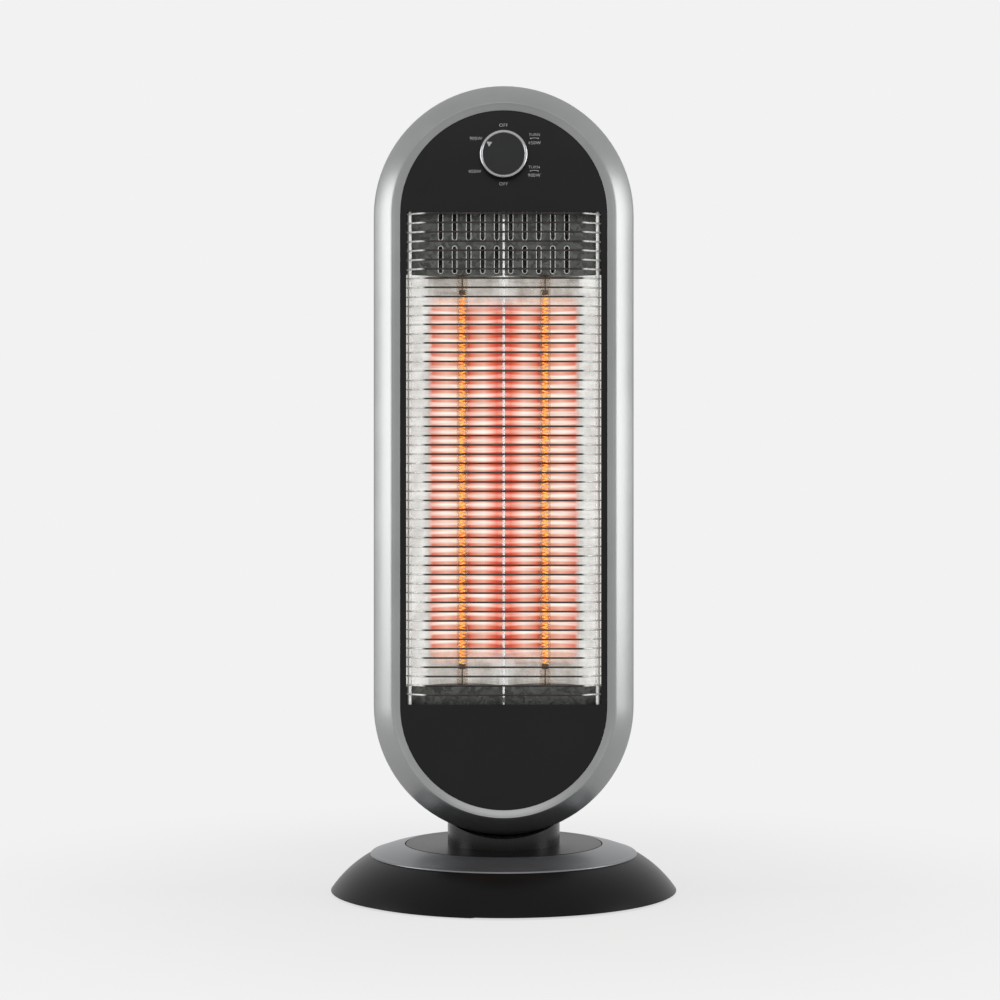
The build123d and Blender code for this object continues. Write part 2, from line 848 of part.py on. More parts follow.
with BuildPart() as front_panel:
    extrude(stadium(panel_back, panel_inset), amount=panel_t)
    with BuildSketch(facing(panel_back)):
        with Locations((0, window_mid)):
            RectangleRounded(window_w, window_h, window_round)
    extrude(amount=panel_t, mode=Mode.SUBTRACT)
    with BuildSketch(facing(panel_back)):
        with Locations(*saddle_places):
            Rectangle(saddle_w, saddle_h)
    extrude(amount=panel_back - side_rod_y)
    boss_h = bracket_plate_y - panel_back
    extrude(posts(facing(bracket_plate_y), switch_bosses, panel_boss_r), amount=boss_h)
    with BuildSketch(facing(side_rod_y)):
        with Locations((-side_rod_x, tower_mid), (side_rod_x, tower_mid)):
            Rectangle(2 * (side_rod_r + running_fit), tower_h)
    extrude(amount=side_rod_r + running_fit, mode=Mode.SUBTRACT)
    with BuildSketch(facing(side_rod_y)):
        with Locations((0, tower_mid)):
            Rectangle(2 * (mid_rod_r + running_fit), tower_h)
    extrude(amount=side_rod_y - panel_back, mode=Mode.SUBTRACT)
    extrude(discs(facing(panel_back), [(0, knob_z)], shaft_hole_r), amount=panel_t, mode=Mode.SUBTRACT)
    switch_pilot = short_bite + pilot_room
    extrude(holes(facing(bracket_plate_y), switch_bosses), amount=switch_pilot, mode=Mode.SUBTRACT)
save(front_panel, "front_panel")

# Wire guard

wire_top = window_high - wire_top_gap
wire_levels = [wire_top - k * wire_pitch for k in range(wire_count)]

with BuildPart() as guard_wires:
    for z in wire_levels:
        with BuildLine():
            run = Polyline(
                (-wire_end_x, wire_end_y, z),
                (-wire_flat_x, wire_front_y, z),
                (wire_flat_x, wire_front_y, z),
                (wire_end_x, wire_end_y, z),
            )
        with BuildSketch(Plane(origin=run @ 0, x_dir=(0, 0, 1), z_dir=run % 0)):
            RegularPolygon(wire_r, wire_sides, rotation=180 / wire_sides)
        sweep(transition=Transition.RIGHT)
save(guard_wires, "guard_wires")

mid_rod_y = wire_front_y + wire_r + mid_rod_r - weld
rod_places = [(-side_rod_x, side_rod_y), (side_rod_x, side_rod_y)]
with BuildPart() as guard_uprights:
    extrude(discs(level(rod_ends[0]), rod_places, side_rod_r), amount=rod_ends[1] - rod_ends[0])
    with BuildLine():
        low_turn = window_low + 2 * mid_rod_r
        high_turn = window_high - 2 * mid_rod_r
        route = Polyline(
            (0, mid_rod_back_y, rod_ends[0]),
            (0, mid_rod_back_y, low_turn),
            (0, mid_rod_y, low_turn + bend_rise),
            (0, mid_rod_y, high_turn - bend_rise),
            (0, mid_rod_back_y, high_turn),
            (0, mid_rod_back_y, rod_ends[1]),
        )
    with BuildSketch(Plane(origin=route @ 0, z_dir=route % 0)):
        Circle(mid_rod_r)
    sweep(transition=Transition.RIGHT)
save(guard_uprights, "guard_uprights")

# Heat shield, reflector and end plates

shield_low = window_low - shield_reach
shield_high = window_high + shield_reach
flange_edge = tower_r - panel_inset

with BuildPart() as heat_shield:
    with BuildSketch(level(shield_low)):
        with BuildLine():
            outer = shield_x + sheet
            Polyline(
                (-flange_edge, panel_back),
                (-shield_x, panel_back),
                (-shield_x, shield_back),
                (shield_x, shield_back),
                (shield_x, panel_back),
                (flange_edge, panel_back),
                (flange_edge, panel_back + sheet),
                (outer, panel_back + sheet),
                (outer, shield_back + sheet),
                (-outer, shield_back + sheet),
                (-outer, panel_back + sheet),
                (-flange_edge, panel_back + sheet),
                close=True,
            )
        make_face()
    extrude(amount=shield_high - shield_low)
    with BuildSketch(facing(panel_back + sheet)):
        for x, z in ear_places:
            side = 1 if x > 0 else -1
            with Locations((side * (outer + ear_reach) / 2, z)):
                Rectangle(ear_reach - outer, ear_h)
    extrude(amount=sheet)
    extrude(holes(facing(panel_back + sheet), ear_places), amount=sheet, mode=Mode.SUBTRACT)
save(heat_shield, "heat_shield")

with BuildPart() as shield_screws:
    add(screws(facing(panel_back + sheet), ear_places, sheet + ear_boss_h))
save(shield_screws, "shield_screws")

clip_inner = tower_r - ear_hole_inset - clip_overlap
with BuildPart() as panel_clips:
    with BuildSketch(facing(panel_back + bracket_t)):
        for x, z in clip_places:
            centre = high_centre if z > tower_mid else low_centre
            ray = Vector(x, z - centre)
            spot = Vector(0, centre) + ray.normalized() * (clip_inner + clip_length / 2)
            turn = degrees(atan2(ray.Y, ray.X))
            with Locations(Location((spot.X, spot.Y), turn)):
                Rectangle(clip_length, clip_w)
        with Locations(*clip_places):
            RegularPolygon(screw_r + thread_fit, screw_sides, mode=Mode.SUBTRACT)
    extrude(amount=bracket_t)
save(panel_clips, "panel_clips")

with BuildPart() as clip_screws:
    add(screws(facing(panel_back + bracket_t), clip_places, bracket_t + ear_boss_h))
save(clip_screws, "clip_screws")


def reflector_edge(setback):
    """Right half of the reflector's section, its front face or, set back, its rear face."""
    start, deep, end = [(x, y + setback) for x, y in (trough_start, trough_deep, trough_end)]
    rim_x = shield_x - sheet
    with BuildLine() as edge:
        Line((0, cusp_y + setback), start)
        ThreePointArc(start, deep, end)
        Polyline(end, (wing_x, wing_y + setback), (rim_x, rim_y + setback))
    return edge.line


with BuildPart() as reflector:
    reflector_low = foot_plate_top + slip
    with BuildSketch(level(reflector_low)):
        with BuildLine():
            front = add(reflector_edge(0))
            rear = add(reflector_edge(sheet))
            Line((0, cusp_y), (0, cusp_y + sheet))
            Line((shield_x - sheet, rim_y), (shield_x - sheet, rim_y + sheet))
        make_face()
        mirror(about=Plane.YZ)
    extrude(amount=vent_plate_low - slip - reflector_low)
save(reflector, "reflector")


def end_plate_section(height):
    """Plate across the shield with a leg back along each side."""
    with BuildSketch(level(height)) as section:
        with BuildLine():
            inner = shield_x - sheet
            Polyline(
                (-shield_x, plates_y),
                (shield_x, plates_y),
                (shield_x, plate_flange_y),
                (inner, plate_flange_y),
                (inner, plates_y + sheet),
                (-inner, plates_y + sheet),
                (-inner, plate_flange_y),
                (-shield_x, plate_flange_y),
                close=True,
            )
        make_face()
    return section.sketch


def tube_shelf(height):
    """Shelf of an end plate, with a hole for each tube."""
    with BuildSketch(level(height)) as shelf:
        with Locations((0, (plates_y + shield_back) / 2)):
            Rectangle(2 * shield_x, shield_back - plates_y)
        with Locations(*tube_places):
            Circle(quartz_r + sheet, mode=Mode.SUBTRACT)
    return shelf.sketch


tube_places = [(-tube_x, tube_y), (tube_x, tube_y)]

with BuildPart() as vent_plate:
    extrude(end_plate_section(vent_plate_low), amount=shield_high - vent_plate_low)
    extrude(tube_shelf(vent_plate_low), amount=sheet)
    with BuildSketch(facing(plates_y)):
        for row_z in plate_slot_rows_z:
            with Locations((0, row_z)):
                with GridLocations(plate_slot_pitch, 1, plate_slot_count, 1):
                    Rectangle(plate_slot_w, plate_slot_len)
    extrude(amount=-2 * sheet, mode=Mode.SUBTRACT)
save(vent_plate, "vent_plate")

with BuildPart() as bottom_plate:
    extrude(end_plate_section(shield_low), amount=foot_plate_top - shield_low)
    extrude(tube_shelf(foot_plate_top - sheet), amount=sheet)
save(bottom_plate, "bottom_plate")

# Heating tubes

cap_levels = (cap_bottom, cap_top - cap_h)
tube_low = cap_bottom + cap_h - cap_socket + slip
tube_high = cap_top - cap_h + cap_socket - slip
socket_levels = (tube_low - slip, cap_top - cap_h)

for side, place in zip(("left", "right"), tube_places):
    with BuildPart() as quartz_tube:
        with BuildSketch(level(tube_low)):
            with Locations(place):
                Circle(quartz_r)
                Circle(quartz_r - quartz_wall, mode=Mode.SUBTRACT)
        extrude(amount=tube_high - tube_low)
    save(quartz_tube, f"quartz_tube_{side}")

    with BuildPart() as filament:
        extrude(discs(level(heat_low), [place], heat_rod_r), amount=heat_high - heat_low)
    save(filament, f"filament_{side}")

with BuildPart() as tube_caps:
    for low in cap_levels:
        with BuildSketch(level(low)):
            with Locations(*tube_places):
                Rectangle(2 * cap_r, 2 * cap_r)
        extrude(amount=cap_h)
    chamfer(edges().filter_by(Axis.Z), soft_edge)
    for low in socket_levels:
        sockets = discs(level(low), tube_places, quartz_r + running_fit)
        extrude(sockets, amount=cap_socket, mode=Mode.SUBTRACT)
    for low in cap_levels:
        extrude(posts(level(low), tube_places, 2 * lead_r), amount=cap_h, mode=Mode.SUBTRACT)
save(tube_caps, "tube_caps")

with BuildPart() as tube_leads:
    extrude(discs(level(heat_high), tube_places, sleeve_r), amount=sleeve_h)
    extrude(discs(level(heat_low), tube_places, sleeve_r), amount=-sleeve_h)
    upper_lead = cap_top - bracket_t - heat_high
    lower_lead = heat_low - cap_bottom - bracket_t
    extrude(posts(level(heat_high), tube_places, lead_r), amount=upper_lead)
    extrude(posts(level(heat_low), tube_places, lead_r), amount=-lower_lead)
save(tube_leads, "tube_leads")

with BuildPart() as tube_brackets:
    for seat, step in ((cap_top, bracket_t), (cap_bottom, -bracket_t)):
        with BuildSketch(level(seat)):
            with Locations((0, (bracket_front + shield_back) / 2)):
                Rectangle(bracket_w, shield_back - bracket_front)
            with Locations(*tube_places):
                RegularPolygon(2 * lead_r, post_sides, mode=Mode.SUBTRACT)
        extrude(amount=step)
    for low in (cap_top, cap_bottom - bracket_t):
        with BuildSketch(level(low)):
            with Locations((0, shield_back - bracket_t / 2)):
                Rectangle(bracket_w, bracket_t)
        extrude(amount=2 * bracket_flange)
save(tube_brackets, "tube_brackets")

# Controls

with BuildPart() as switch_bracket:
    with BuildSketch(facing(bracket_plate_y)):
        with Locations((0, knob_z)):
            RectangleRounded(bracket_plate_w, bracket_plate_h, soft_edge)
            Circle(switch_nose_r + slip, mode=Mode.SUBTRACT)
        with Locations(*switch_bosses):
            RegularPolygon(screw_r + thread_fit, screw_sides, mode=Mode.SUBTRACT)
    extrude(amount=-bracket_t)
save(switch_bracket, "switch_bracket")

with BuildPart() as bracket_screws:
    add(screws(facing(bracket_plate_y + bracket_t), switch_bosses, bracket_t + short_bite))
save(bracket_screws, "bracket_screws")

knob_place = [(0, knob_z)]
switch_front = bracket_plate_y + bracket_t
shaft_back = switch_front + shaft_tail
with BuildPart() as rotary_switch:
    extrude(discs(facing(switch_front), knob_place, switch_r), amount=-switch_depth)
    chamfer(edges().group_by(Axis.Y)[-1], soft_edge)
    extrude(discs(facing(switch_front), knob_place, switch_nose_r), amount=switch_nose)
    with BuildSketch(facing(switch_front + switch_depth)):
        with Locations((0, knob_z)):
            with PolarLocations(blade_ring, blade_count):
                Rectangle(sheet, blade_w)
    extrude(amount=-blade_reach)
    shaft_bore = discs(facing(shaft_back + slip), knob_place, switch_shaft_r + running_fit)
    extrude(shaft_bore, amount=switch_depth, mode=Mode.SUBTRACT)
save(rotary_switch, "rotary_switch")

knob_back = panel_front - knob_gap
knob_front = knob_back - knob_depth
shaft_front = knob_front + shaft_end_gap

with BuildPart() as switch_shaft:
    extrude(discs(facing(shaft_back), knob_place, switch_shaft_r), amount=shaft_back - shaft_front)
save(switch_shaft, "switch_shaft")

ring_in_r = knob_ring_r - knob_ring_w
with BuildPart() as knob:
    extrude(discs(facing(knob_back), knob_place, knob_r), amount=knob_depth)
    with BuildSketch(facing(knob_front)):
        with Locations(*knob_place):
            Circle(knob_ring_r)
            Circle(ring_in_r, mode=Mode.SUBTRACT)
    extrude(amount=ring_proud - ring_t, mode=Mode.SUBTRACT)
    with BuildSketch(facing(knob_back)):
        with Locations(*knob_place):
            Circle(ring_in_r - knob_skirt)
            Circle(knob_hub_r, mode=Mode.SUBTRACT)
    extrude(amount=knob_depth - knob_face, mode=Mode.SUBTRACT)
    shaft_seat = discs(facing(knob_back), knob_place, switch_shaft_r)
    extrude(shaft_seat, amount=knob_back - shaft_front, mode=Mode.SUBTRACT)
save(knob, "knob")

with BuildPart() as knob_ring:
    with BuildSketch(facing(knob_front + ring_t - ring_proud)):
        with Locations(*knob_place):
            Circle(knob_ring_r)
            Circle(ring_in_r, mode=Mode.SUBTRACT)
    extrude(amount=ring_t)
    chamfer(edges().group_by(Axis.Y)[0], small_edge)
save(knob_ring, "knob_ring")

with BuildPart() as knob_pointer:
    with BuildSketch(facing(knob_front)):
        with Locations(*knob_place):
            with PolarLocations(ring_in_r - pointer_size, 1, start_angle=90 + pointer_angle):
                RegularPolygon(pointer_size, 3)
    extrude(amount=pointer_t)
save(knob_pointer, "knob_pointer")

# Electrical parts in the tower

with BuildPart() as thermal_cutout:
    cutout_seat = shield_back + sheet
    extrude(discs(facing(cutout_seat), [(0, cutout_z)], cutout_r), amount=-cutout_h)
    chamfer(edges().group_by(Axis.Y)[-1], small_edge)
    with BuildSketch(facing(cutout_seat)):
        with Locations((0, cutout_z)):
            Rectangle(4 * cutout_r, cutout_r)
    extrude(amount=-bracket_t)
save(thermal_cutout, "thermal_cutout")

with BuildPart() as terminal_block:
    block_back = back_y - wall
    with BuildSketch(facing(block_back)):
        with Locations((0, terminal_z)):
            Rectangle(terminal_w, terminal_h)
    extrude(amount=terminal_d)
    with BuildSketch(facing(block_back - terminal_d)):
        with Locations((0, terminal_z)):
            with GridLocations(terminal_w / 4, 1, 4, 1):
                RegularPolygon(screw_head_r, post_sides)
    extrude(amount=-terminal_d / 2, mode=Mode.SUBTRACT)
save(terminal_block, "terminal_block")
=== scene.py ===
import json
from math import cos, pi, radians, sin, sqrt

import bmesh
import bpy
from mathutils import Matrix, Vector


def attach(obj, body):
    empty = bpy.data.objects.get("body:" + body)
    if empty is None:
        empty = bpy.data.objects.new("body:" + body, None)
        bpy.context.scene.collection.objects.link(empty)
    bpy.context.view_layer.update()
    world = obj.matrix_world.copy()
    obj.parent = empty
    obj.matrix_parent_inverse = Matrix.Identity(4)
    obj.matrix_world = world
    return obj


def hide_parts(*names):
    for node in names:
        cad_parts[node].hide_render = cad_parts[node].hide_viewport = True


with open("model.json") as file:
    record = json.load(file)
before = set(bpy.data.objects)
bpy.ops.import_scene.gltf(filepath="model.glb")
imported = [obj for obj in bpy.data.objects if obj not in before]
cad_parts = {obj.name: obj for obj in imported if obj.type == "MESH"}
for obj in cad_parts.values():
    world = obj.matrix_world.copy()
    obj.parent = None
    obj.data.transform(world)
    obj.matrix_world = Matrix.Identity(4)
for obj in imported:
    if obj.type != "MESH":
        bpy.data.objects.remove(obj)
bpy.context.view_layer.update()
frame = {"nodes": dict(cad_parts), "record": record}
nodes = frame["nodes"]
scene = bpy.context.scene

# Metres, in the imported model's frame: +Z up, the front faces -Y.
MM = 0.001

# Camera, as worked out from the photograph
IMAGE_PX = 1000
FOCAL_PX = 2511
SENSOR_MM = 36.0
CAMERA_Y = -2.041
CAMERA_Z = 0.3333
HORIZON_PX = 480
AXIS_PX = 503.7

# Sizes that the looks share with the solids, in millimetres
TOWER_R = 105.0
LOW_CENTRE = 152.8
HIGH_CENTRE = 545.0
WIRE_COUNT = 53
WIRE_PITCH = 7.363
WIRE_TOP = 545.3
TUBE_X = 33.4
TUBE_Y = -18.0
HEAT_LOW = 185.1
HEAT_HIGH = 482.3
PANEL_FRONT = -40.0

BACKGROUND = (242, 242, 242)


def linear(rgb, alpha=1.0):
    """Colour written as 0 to 255 in sRGB, as a shader wants it."""
    def channel(value):
        value /= 255
        return value / 12.92 if value <= 0.04045 else ((value + 0.055) / 1.055) ** 2.4
    return tuple(channel(value) for value in rgb) + (alpha,)


class Graph:
    """Node tree of one material or world, with short calls that add and join nodes."""

    def __init__(self, owner):
        owner.use_nodes = True
        self.tree = owner.node_tree
        self.tree.nodes.clear()

    def add(self, kind, settings=None, **sockets):
        node = self.tree.nodes.new("ShaderNode" + kind)
        for key, value in (settings or {}).items():
            setattr(node, key, value)
        for key, value in sockets.items():
            self.feed(node.inputs[key.replace("_", " ")], value)
        return node

    def feed(self, socket, value):
        if isinstance(value, bpy.types.NodeSocket):
            self.tree.links.new(value, socket)
        else:
            socket.default_value = value

    def math(self, operation, *values):
        node = self.add("Math", {"operation": operation})
        for socket, value in zip(node.inputs, values):
            self.feed(socket, value)
        return node.outputs[0]

    def span(self, value, low, high, to_low=0.0, to_high=1.0, smooth=False):
        """Value between two limits, carried over to two others."""
        kind = {"interpolation_type": "SMOOTHSTEP" if smooth else "LINEAR"}
        node = self.add("MapRange", kind, Value=value)
        for key, limit in zip(("From Min", "From Max", "To Min", "To Max"), (low, high, to_low, to_high)):
            node.inputs[key].default_value = limit
        return node.outputs["Result"]

    def ramp(self, value, stops):
        """Colour ramp with stops of (position, colour from 0 to 255)."""
        node = self.add("ValToRGB", Fac=value)
        elements = node.color_ramp.elements
        while len(elements) < len(stops):
            elements.new(0.5)
        for element, (position, colour) in zip(elements, stops):
            element.position = position
            element.color = linear(colour)
        return node.outputs["Color"]

    def drift(self, value, dark, light, low=0.3, high=0.7):
        """Colour that goes from dark to light as a cloud rises."""
        return self.ramp(value, [(low, dark), (high, light)])

    def mix(self, factor, one, other):
        node = self.add("Mix", {"data_type": "RGBA", "blend_type": "MIX", "clamp_factor": True})
        self.feed(node.inputs[0], factor)
        self.feed(node.inputs[6], one)
        self.feed(node.inputs[7], other)
        return node.outputs[2]

    def blend(self, factor, one, other):
        """Shader that goes from one shader to another as the factor rises."""
        node = self.add("MixShader", Fac=factor)
        self.feed(node.inputs[1], one.outputs[0])
        self.feed(node.inputs[2], other.outputs[0])
        return node

    def place(self):
        return self.add("TexCoord").outputs["Object"]

    def noise(self, scale, detail=4.0, stretch=(1, 1, 1), roughness=0.55):
        place = self.add("Mapping", Vector=self.place(), Scale=stretch).outputs["Vector"]
        cloud = self.add("TexNoise", Vector=place, Scale=scale, Detail=detail, Roughness=roughness)
        return cloud.outputs["Fac"]

    def bump(self, height, strength, distance):
        return self.add("Bump", Height=height, Strength=strength, Distance=distance).outputs["Normal"]

    def background_rays(self):
        """1 for camera, glossy and transmission rays, which see the plain background, else 0."""
        rays = self.add("LightPath").outputs
        bent = self.math("MAXIMUM", rays["Is Glossy Ray"], rays["Is Transmission Ray"])
        return self.math("MAXIMUM", rays["Is Camera Ray"], bent)

    def show(self, shader, kind="Material"):
        self.add("Output" + kind, Surface=shader.outputs[0])


def new_material(name):
    material = bpy.data.materials.new(name)
    return material, Graph(material)


def surface(name, dark, light, rough=(0.3, 0.4), metallic=0.0, cloud=18.0, grain=900.0, relief=0.15,
            depth=0.00008, specular=0.5):
    """Surface whose colour and gloss drift over a slow cloud, with a fine grain in relief."""
    material, graph = new_material(name)
    slow = graph.noise(cloud, 5.0)
    fine = graph.noise(grain, 3.0)
    wear = graph.math("MULTIPLY_ADD", fine, 0.5, graph.math("MULTIPLY", slow, 0.5))
    graph.show(graph.add("BsdfPrincipled", Base_Color=graph.drift(slow, dark, light),
                         Roughness=graph.span(wear, 0.3, 0.7, *rough), Metallic=metallic,
                         Specular_IOR_Level=specular, Normal=graph.bump(fine, relief, depth)))
    return material


def galvanised(name, dark, light, patch=110.0, rough=(0.35, 0.6), metallic=0.8):
    """Zinc-coated sheet: crystal patches of differing grey under a mottled film."""
    material, graph = new_material(name)
    place = graph.place()
    bend = graph.add("TexNoise", Vector=place, Scale=60.0, Detail=3.0).outputs["Color"]
    warped = graph.add("MixRGB", {"blend_type": "LINEAR_LIGHT"}, Fac=0.02, Color1=place, Color2=bend)
    cells = graph.add("TexVoronoi", Vector=warped.outputs[0], Scale=patch, Randomness=1.0)
    tone = graph.add("SeparateColor", Color=cells.outputs["Color"]).outputs["Red"]
    film = graph.noise(160.0, 8.0, roughness=0.7)
    cover = graph.math("MULTIPLY_ADD", tone, 0.45, graph.math("MULTIPLY", film, 0.6))
    graph.show(graph.add("BsdfPrincipled", Base_Color=graph.drift(cover, dark, light, 0.28, 0.8),
                         Roughness=graph.span(film, 0.3, 0.7, *rough), Metallic=metallic,
                         Normal=graph.bump(film, 0.12, 0.0002)))
    return material


# Painted reflection of the glowing coils in the troughs: its tones from the reflector's middle outwards, as
# shares of its reach, behind the wires and between them
REFLECTOR_REACH = 80.0
GLOW_REFLECTION_BEHIND_WIRES = [
    (0.00, (190, 88, 72)),
    (0.07, (204, 72, 52)),
    (0.13, (232, 116, 88)),
    (0.20, (238, 172, 152)),
    (0.26, (228, 160, 138)),
    (0.33, (226, 112, 84)),
    (0.37, (150, 66, 50)),
    (0.43, (226, 132, 92)),
    (0.50, (224, 152, 130)),
    (0.58, (240, 180, 160)),
    (0.66, (230, 146, 124)),
    (0.73, (214, 104, 82)),
]
GLOW_REFLECTION_BETWEEN_WIRES = [
    (0.00, (255, 196, 180)),
    (0.07, (255, 160, 138)),
    (0.13, (255, 222, 208)),
    (0.20, (255, 255, 246)),
    (0.29, (255, 238, 226)),
    (0.35, (255, 200, 182)),
    (0.43, (255, 232, 206)),
    (0.52, (255, 250, 238)),
    (0.62, (255, 252, 242)),
    (0.73, (252, 204, 190)),
]

# How far the painted reflection of the coils runs past the ends of the coils, and how far inside them it is
# full, in millimetres
GLOW_SPILL = 4
GLOW_FADE = 16


def reflector_finish():
    """Polished troughs with the warm reflection of the glowing tubes painted on as emission, streaked across
    by ripples, with paler painted streaks between the wires and a faint painted sheen elsewhere.
    """
    material, graph = new_material("reflector_bright")
    place = graph.add("SeparateXYZ", Vector=graph.place()).outputs
    across = graph.span(graph.math("ABSOLUTE", place["X"]), 0.0, REFLECTOR_REACH * MM)
    streak = graph.noise(1.0, 3.0, stretch=(24, 1, 420))
    patches = graph.noise(1.0, 2.0, stretch=(90, 1, 60))

    # Painted reflection paler in streaks between the wires and darker behind them
    below_top = graph.math("SUBTRACT", place["Z"], (WIRE_TOP - WIRE_PITCH / 2) * MM)
    turn = graph.math("MULTIPLY", below_top, 2 * pi / (WIRE_PITCH * MM))
    gap = graph.span(graph.math("COSINE", turn), -0.6, 1.0, smooth=True)
    pale = graph.math("MULTIPLY", gap, graph.span(streak, 0.3, 0.6, 0.45, 1.0))
    painted_glow_reflection = graph.mix(pale, graph.ramp(across, GLOW_REFLECTION_BEHIND_WIRES), graph.ramp(across, GLOW_REFLECTION_BETWEEN_WIRES))

    # Where the painted reflection of the coils shows: faded at the sides of the troughs and beyond the
    # coils' ends
    ragged = graph.math("MULTIPLY_ADD", streak, 0.05, across)
    side = graph.span(ragged, 0.735, 0.79, 1.0, 0.0, smooth=True)
    wing = graph.span(ragged, 0.77, 0.84, smooth=True)
    low = graph.span(place["Z"], (HEAT_LOW - GLOW_SPILL) * MM, (HEAT_LOW + GLOW_FADE) * MM, smooth=True)
    high = graph.span(place["Z"], (HEAT_HIGH + GLOW_SPILL) * MM, (HEAT_HIGH - GLOW_FADE) * MM, smooth=True)
    glow_reflection_mask = graph.math("MULTIPLY", side, graph.math("MULTIPLY", low, high))

    # Metal colour darkened under the painted reflection; elsewhere a faint painted sheen of pale
    # surroundings, a little stronger on the wings
    base = graph.mix(glow_reflection_mask, linear((188, 188, 185)), linear((50, 34, 30)))
    painted_sheen = graph.mix(graph.span(patches, 0.35, 0.65), linear((206, 202, 196)), linear((255, 254, 250)))
    level = graph.math("MULTIPLY_ADD", glow_reflection_mask, 0.62, graph.span(streak, 0.3, 0.7, 0.30, 0.40))
    level = graph.math("MULTIPLY_ADD", wing, 0.14, level)
    graph.show(graph.add("BsdfPrincipled", Base_Color=base, Emission_Color=graph.mix(glow_reflection_mask, painted_sheen, painted_glow_reflection),
                         Emission_Strength=level, Roughness=graph.span(streak, 0.3, 0.7, 0.16, 0.34),
                         Metallic=0.9, Normal=graph.bump(streak, 0.25, 0.0008)))
    return material


def wire_finish():
    """Drawn wire, painted dark across the flat run as painted shade, and painted bright where it bends back
    as a painted highlight of the side lamps.
    """
    material, graph = new_material("wire_dark")
    place = graph.add("SeparateXYZ", Vector=graph.place()).outputs
    across = graph.math("ABSOLUTE", place["X"])
    film = graph.noise(90.0, 4.0, stretch=(1, 4, 4))
    ragged = graph.math("MULTIPLY_ADD", film, 4 * MM, across)
    # Mask of the bent ends, which carry the painted highlight
    painted_sheen = graph.span(ragged, 63.5 * MM, 67.5 * MM, smooth=True)
    painted_shade_tone = graph.drift(film, (44, 42, 41), (66, 63, 61))
    bright = graph.drift(film, (206, 206, 203), (238, 238, 235))
    graph.show(graph.add("BsdfPrincipled", Base_Color=graph.mix(painted_sheen, painted_shade_tone, bright),
                         Roughness=graph.span(film, 0.3, 0.7, 0.22, 0.34),
                         Metallic=graph.span(painted_sheen, 0.0, 1.0, 0.8, 0.45)))
    return material


def coil_finish():
    """Carbon coil at an orange-yellow heat, uneven from curl to curl."""
    material, graph = new_material("carbon_glow")
    speck = graph.noise(700.0, 2.0)
    heat = graph.drift(speck, (255, 120, 30), (255, 196, 84), 0.35, 0.62)
    graph.show(graph.add("BsdfPrincipled", Base_Color=heat, Emission_Color=heat,
                         Emission_Strength=graph.span(speck, 0.3, 0.7, 0.85, 1.35), Roughness=0.7))
    return material


def quartz_finish():
    """Clear tube: see-through in front, brighter along its edges, with faint smears."""
    material, graph = new_material("quartz_glass")
    smear = graph.noise(60.0, 4.0, stretch=(1, 1, 0.15))
    facing = graph.add("LayerWeight", Blend=0.28).outputs["Facing"]
    clear = graph.add("BsdfTransparent", Color=linear((250, 246, 242)))
    shiny = graph.add("BsdfPrincipled", Base_Color=graph.drift(smear, (196, 186, 178), (236, 228, 220)),
                      Roughness=graph.span(smear, 0.3, 0.7, 0.04, 0.12),
                      Transmission_Weight=0.55, IOR=1.46)
    graph.show(graph.blend(graph.span(facing, 0.0, 1.0, 0.05, 0.55), clear, shiny))
    return material


def print_finish():
    """Pale ink on the dial."""
    material, graph = new_material("dial_print")
    ink = graph.noise(800.0, 3.0)
    graph.show(graph.add("BsdfPrincipled", Base_Color=graph.drift(ink, (196, 196, 194), (226, 226, 224)),
                         Roughness=graph.span(ink, 0.3, 0.7, 0.4, 0.55)))
    return material


